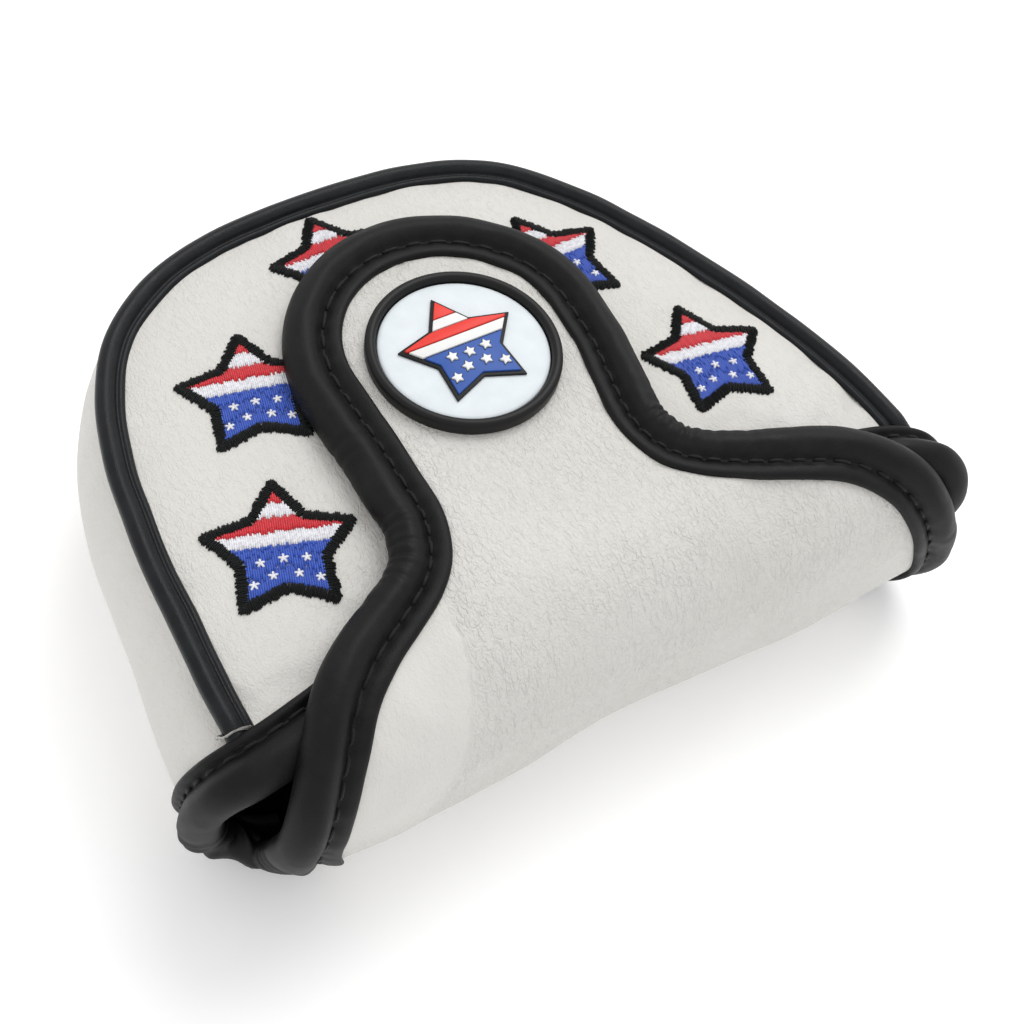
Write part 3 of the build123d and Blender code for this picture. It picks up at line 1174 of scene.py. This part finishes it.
def star_corners(radius, waist=star_waist):
    line = []
    for i in range(10):
        reach = radius if i % 2 == 0 else radius * waist
        turn = math.radians(90 + 36 * i)
        line.append((reach * math.cos(turn), reach * math.sin(turn)))
    return line


def spans_at(outline, x):
    """Where an upright line at x is inside the star: pairs of low and high."""
    cuts = []
    for (x0, y0), (x1, y1) in zip(outline, outline[1:] + outline[:1]):
        if (x0 - x) * (x1 - x) < 0:
            cuts.append(y0 + (y1 - y0) * (x - x0) / (x1 - x0))
    cuts.sort()
    return list(zip(cuts[::2], cuts[1::2]))


# %% Star stitches
thread_gap = 0.30
stripe_height = 2.25
blue_top = 0.4
rim_gap = 0.25
BLACK, RED, WHITE, BLUE = range(4)
small_star_places = [(0.0, -1.6), (-3.0, -1.9), (3.0, -1.9), (-1.6, -4.0), (1.7, -4.1),
                     (-4.2, -5.0), (4.3, -5.0)]


def jitter(amount):
    return random.uniform(-amount, amount)


def star_fill():
    """Fill stitches of one star: x, low, high, colour."""
    stitches = []
    outline = star_corners(star_radius - 0.9)
    steps = int(2 * star_radius / thread_gap)
    for i in range(steps):
        x = -star_radius + i * thread_gap
        for low_y, high_y in spans_at(outline, x):
            y = low_y
            while y < high_y - 0.15:
                if y < blue_top - 0.1:
                    top_y = min(blue_top + jitter(0.35), high_y, y + 2.6 + jitter(0.8))
                    colour = BLUE
                else:
                    band = int((y - blue_top + 0.35) / stripe_height)
                    top_y = min(blue_top + (band + 1) * stripe_height + jitter(0.3), high_y)
                    colour = WHITE if band % 2 == 0 else RED
                top_y = max(top_y, y + 0.3)
                stitches.append((x, y - 0.12, top_y + 0.12, colour))
                y = top_y
    return stitches


def star_rim():
    """Satin stitches square to the edge: two ends of each."""
    outline = star_corners(star_radius)
    rim = []
    for a, b in zip(outline, outline[1:] + outline[:1]):
        a, b = Vector(a), Vector(b)
        size = (b - a).length
        way = (b - a) / size
        out = Vector((way.y, -way.x))
        for n in range(int(size / rim_gap)):
            p = a + way * (n + 0.5) * rim_gap
            lean_out = 0.12 * jitter(1.0)
            rim.append((p - out * (0.85 + jitter(0.16)) + way * lean_out,
                        p + out * (0.85 + jitter(0.22))))
    for tip in outline[::2]:
        tip = Vector(tip)
        for turn in (-50, -25, 0, 25, 50):
            spread = Matrix.Rotation(math.radians(turn), 2) @ tip.normalized()
            rim.append((tip - spread * 0.5, tip + spread * (0.8 + jitter(0.15))))
    return rim


# %% The panel under the needle
depsgraph = bpy.context.evaluated_depsgraph_get()
panel_tree = BVHTree.FromObject(top, depsgraph)


def panel_top(x, y):
    """Height of the finished top panel, in millimetres."""
    hit = panel_tree.ray_cast(at(x, y, 60), Vector((0, 0, -1)))
    return hit[0].z / MM if hit[0] else panel_height(x, y)


print("panel height in the middle", round(panel_top(0, 30), 2), "mm")


# %% Make the stars
def embroider(number, turn):
    node = f"embroidered_star_{number}"
    centre = sum(corners(node), Vector()) / 2
    spin = Matrix.Rotation(math.radians(turn), 2)

    def on_panel(p, rise):
        q = spin @ Vector(p)
        x, y = centre.x + q.x, centre.y + q.y
        return x, y, panel_top(x, y) + rise

    up = np.array((0.0, 0.0, 1.0))
    places = []
    for x, low_y, high_y, colour in star_fill():
        a, b = on_panel((x, low_y), 0.16), on_panel((x, high_y), 0.16)
        places.append((a, b, up, 0.37, 0.46 + jitter(0.06), colour))
    for cx, cy in small_star_places:
        for turn_star in (90, 162, 234, 306, 18):
            tip = Vector((math.cos(math.radians(turn_star)), math.sin(math.radians(turn_star))))
            start = Vector((cx, cy)) - tip * 0.15
            end = Vector((cx, cy)) + tip * (0.72 + jitter(0.1))
            places.append((on_panel(start, 0.36), on_panel(end, 0.34), up, 0.36, 0.36, WHITE))
    for a, b in star_rim():
        places.append((on_panel(a, 0.3), on_panel(b, 0.2), up, 0.34, 0.6, BLACK))
    piece = copy_grain(f"star_embroidery_{number}", places)
    smooth(piece, 80)
    for colour in ("black", "red", "white", "blue"):
        piece.data.materials.append(finish["thread_" + colour])
    print(f"{piece.name}: {len(places)} stitches")
    return piece


stars = [embroider(n, turn) for n, turn in enumerate(star_turns, start=1)]

# %% [markdown]
# ## Rubber badge
# The badge is moulded in coloured rubber. Its rim is spun: half of its section is drawn and
# turned round the centre. The emblem's parts are stars and stripes cut from one raised
# shape, with small bevels, because a mould never leaves a sharp edge.

# %% Badge place
badge_radius = (badge_high.x - badge_low.x) / 2
badge_floor = badge_low.z - 0.05


def badge_point(x, y, z):
    """A pattern point on the badge, z above the leather, which dips slightly under it."""
    return badge_centre.x + x, badge_centre.y + y, badge_floor + z


print("badge radius", round(badge_radius, 1), "mm")


# %% Badge base and face
def spun(name, section, key, steps=96):
    """A round piece: its section (radius, height) is turned about the badge's centre."""
    def surface(u, v):
        radius, height = section[round(v * (len(section) - 1))]
        turn = 2 * math.pi * u
        return badge_point(radius * math.cos(turn), radius * math.sin(turn), height)

    piece = grid_piece(name, steps, len(section) - 1, surface)
    edit(piece, merge, face_out)
    return finished(piece, key, 50)


r = badge_radius
rim_section = [(0.0, -0.3), (r - 0.5, -0.3), (r - 0.12, -0.15), (r, 0.2), (r, 1.3),
               (r - 0.10, 1.72), (r - 0.35, 1.98), (r - 0.8, 2.08), (r - 1.2, 1.98),
               (r - 1.45, 1.7), (r - 1.55, 1.3), (r - 1.6, 0.5), (0.0, 0.5)]
badge_rim = spun("badge_rim", rim_section, "rubber_black")
face_radius = r - 1.75
face_section = [(0.0, 0.4), (face_radius, 0.4), (face_radius, 0.95), (face_radius - 0.15, 1.1),
                (face_radius - 0.6, 1.16), (face_radius * 0.6, 1.18), (0.0, 1.2)]
badge_face = spun("badge_face_disc", face_section, "rubber_face")


# %% Badge emblem
def plate(name, outline, floor, roof, key, edge):
    """A flat shape raised from floor to roof, with rounded top edges."""
    bpy.ops.object.select_all(action="DESELECT")
    bpy.ops.mesh.primitive_circle_add(vertices=len(outline), radius=1, fill_type="NGON")
    piece = bpy.context.object
    piece.name = name
    for vertex, (x, y) in zip(piece.data.vertices, outline):
        vertex.co = at(*badge_point(x, y, floor))
    lift = {"value": (0, 0, (roof - floor) * MM)}
    edit(piece, lambda: bpy.ops.mesh.extrude_region_move(TRANSFORM_OT_translate=lift), face_out)
    modify(piece, "BEVEL", width=edge * MM, segments=2, limit_method="ANGLE",
           angle_limit=math.radians(30))
    return finished(piece, key, 35)


def cut_star(outline, low_y, high_y):
    """The parts of a star between two heights, as corner lists (clipped polygons)."""
    def clip(points, keep_above, level):
        kept = []
        for (x0, y0), (x1, y1) in zip(points, points[1:] + points[:1]):
            in0 = (y0 >= level) == keep_above
            in1 = (y1 >= level) == keep_above
            if in0:
                kept.append((x0, y0))
            if in0 != in1:
                t = (level - y0) / (y1 - y0)
                kept.append((x0 + (x1 - x0) * t, level))
        return kept

    return clip(clip(outline, True, low_y), False, high_y)


emblem_radius = 9.6
outer_star = star_corners(emblem_radius)
inner_star = star_corners(emblem_radius - 0.95)
emblem_parts = [plate("badge_emblem_outline", outer_star, 1.1, 1.62, "rubber_black", 0.15)]
bands = [(0.5, 2.15, "rubber_white"), (2.3, 3.95, "rubber_red"), (4.1, 5.75, "rubber_white"),
         (5.9, 9.0, "rubber_red")]
for low_y, high_y, key in bands:
    part = cut_star(inner_star, low_y, high_y)
    emblem_parts.append(plate(f"badge_stripe_{len(emblem_parts)}", part, 1.5, 2.0, key, 0.14))
print("emblem parts:", len(emblem_parts))

# %% Blue field and its small stars
lower_blue = cut_star(inner_star, -9.0, 0.3)
emblem_parts.append(plate("badge_blue_field_relief", lower_blue, 1.5, 1.95, "rubber_blue", 0.14))
for n, (x, y) in enumerate([(0.0, -1.3), (-2.7, -1.1), (2.7, -1.1), (-1.5, -3.4), (1.5, -3.4),
                            (-3.9, -4.6), (3.9, -4.6)], start=1):
    for name, radius, waist, roof, key, edge in (
            ("star_well", 1.12, 0.5, 1.965, "rubber_black", 0.01),
            ("small_star", 0.92, 0.52, 2.25, "rubber_white", 0.09)):
        outline = [(x + cx, y + cy) for cx, cy in star_corners(radius, waist)]
        emblem_parts.append(plate(f"badge_{name}_{n}", outline, 1.8, roof, key, edge))
print("emblem parts:", len(emblem_parts))

# %% [markdown]
# ## Riding on the frame
# The pieces on the bag and the badge now get their bodies and simply ride. The flap's
# pieces get no body and do not bend. The CAD solids that the pieces stand for are hidden.

# %% Ride
for piece in (gusset, top, bottom, top_lining, side_lining, bottom_lining, piping, mouth_binding,
              stitches_mouth, *stars):
    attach(piece, "cover")
for piece in (badge_rim, badge_face, *emblem_parts):
    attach(piece, "flap_tongue")
lower_bend = {"start": at(0, -6.0, 1.0), "end": at(0, -13.5, 12.0)}
upper_bend = {"start": at(0, -3.0, 38.5), "end": at(0, 13.0, 41.0)}
for piece in (flap_lower, flap_lining_lower, binding_left, binding_right, stitches_left,
              stitches_right):
    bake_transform(piece)
for piece in (flap_upper, flap_lining_upper, binding_tongue, stitches_tongue):
    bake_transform(piece)
print("rides set")

# %% Soft pieces and slots are not declared
print("soft pieces and slots are not declared")

# %% Stand for CAD solids
for piece, *nodes in (
        (gusset, "side_gusset", "gusset_padding"), (top, "top_panel", "top_padding"),
        (bottom, "bottom_panel", "bottom_padding"), (top_lining, "top_lining"),
        (side_lining, "gusset_lining"), (bottom_lining, "bottom_lining"),
        (piping, "top_piping", "piping_cord"),
        (mouth_binding, "mouth_binding", "mouth_binding_foam"),
        (stitches_mouth, "mouth_stitching"),
        (flap_upper, "tongue_leather", "tongue_padding", "front_leather", "front_padding"),
        (flap_lining_upper, "tongue_lining", "front_lining"),
        (binding_left, "front_binding_left", "lip_binding"),
        (binding_right, "front_binding_right", "front_binding_foam"),
        (binding_tongue, "tongue_binding", "tongue_binding_foam"),
        (stitches_left, "front_stitching"), (stitches_tongue, "tongue_stitching"),
        *((star, f"embroidered_star_{n}") for n, star in enumerate(stars, start=1)),
        (badge_rim, "badge_base"), (badge_face, "badge_face"),
        (emblem_parts[0], "badge_emblem_base", "badge_red_stripes", "badge_white_stripes",
         "badge_blue_field")):
    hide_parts(*nodes)
for node in ("keeper_plate", "closure_magnet"):
    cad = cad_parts[node]
    cad.data.materials.clear()
    cad.data.materials.append(finish["steel"])
print("CAD solids stood for")

# %% [markdown]
# ## Stage, light and camera
# A pale floor, an even white surround and a large soft lamp, as in a product studio. The
# camera stands high at the front left and is turned about its own axis.

# %% Stage
bpy.ops.object.select_all(action="DESELECT")
bpy.ops.mesh.primitive_plane_add(size=6.0, location=(0, 0, -0.0002))
floor = bpy.context.object
floor.name = "studio_floor"
floor_material, floor_shader, place = new_material("studio_floor", (0.9, 0.9, 0.9), 0.8, 0.1)
tint(floor_shader, noise_of(place, 0.02), (0.95, 0.95, 0.95), (0.96, 0.96, 0.96))
floor_shader.inputs["Emission Color"].default_value = (1, 1, 1, 1)
floor_shader.inputs["Emission Strength"].default_value = 0.14
floor.data.materials.append(floor_material)

world = bpy.data.worlds.new("studio")
bpy.context.scene.world = world
world.use_nodes = True
surround = world.node_tree.nodes["Background"]
surround.inputs["Color"].default_value = (1.0, 1.0, 1.0, 1)
surround.inputs["Strength"].default_value = 0.88

lamp_data = bpy.data.lights.new("key_lamp", "AREA")
lamp_data.shape = "SQUARE"
lamp_data.size = 0.6
lamp_data.energy = 4.6
lamp = bpy.data.objects.new("key_lamp", lamp_data)
bpy.context.scene.collection.objects.link(lamp)
lamp.location = (0.45, 0.3, 0.85)
lamp.rotation_euler = (Vector((0, 0, 0.02)) - lamp.location).to_track_quat("-Z", "Y").to_euler()
bpy.context.scene.view_settings.view_transform = "Standard"
print("stage lit")

# %% Camera
camera_data = bpy.data.cameras.new("camera")
camera_data.lens = 52.7
camera = bpy.data.objects.new("camera", camera_data)
bpy.context.scene.collection.objects.link(camera)
aim = at(-5.35, 12.35, 35.6)
heading, down, roll = math.radians(44.0), math.radians(55.7), math.radians(14.9)
sight = Vector((math.sin(heading) * math.cos(down), math.cos(heading) * math.cos(down),
                -math.sin(down)))
camera.location = aim - sight * 203.35 * MM
turn = sight.to_track_quat("-Z", "Y").to_matrix() @ Matrix.Rotation(roll, 3, "Z")
camera.rotation_euler = turn.to_euler()
camera_data.clip_start = 0.01
bpy.context.scene.camera = camera
print("camera at", tuple(round(c, 3) for c in camera.location))
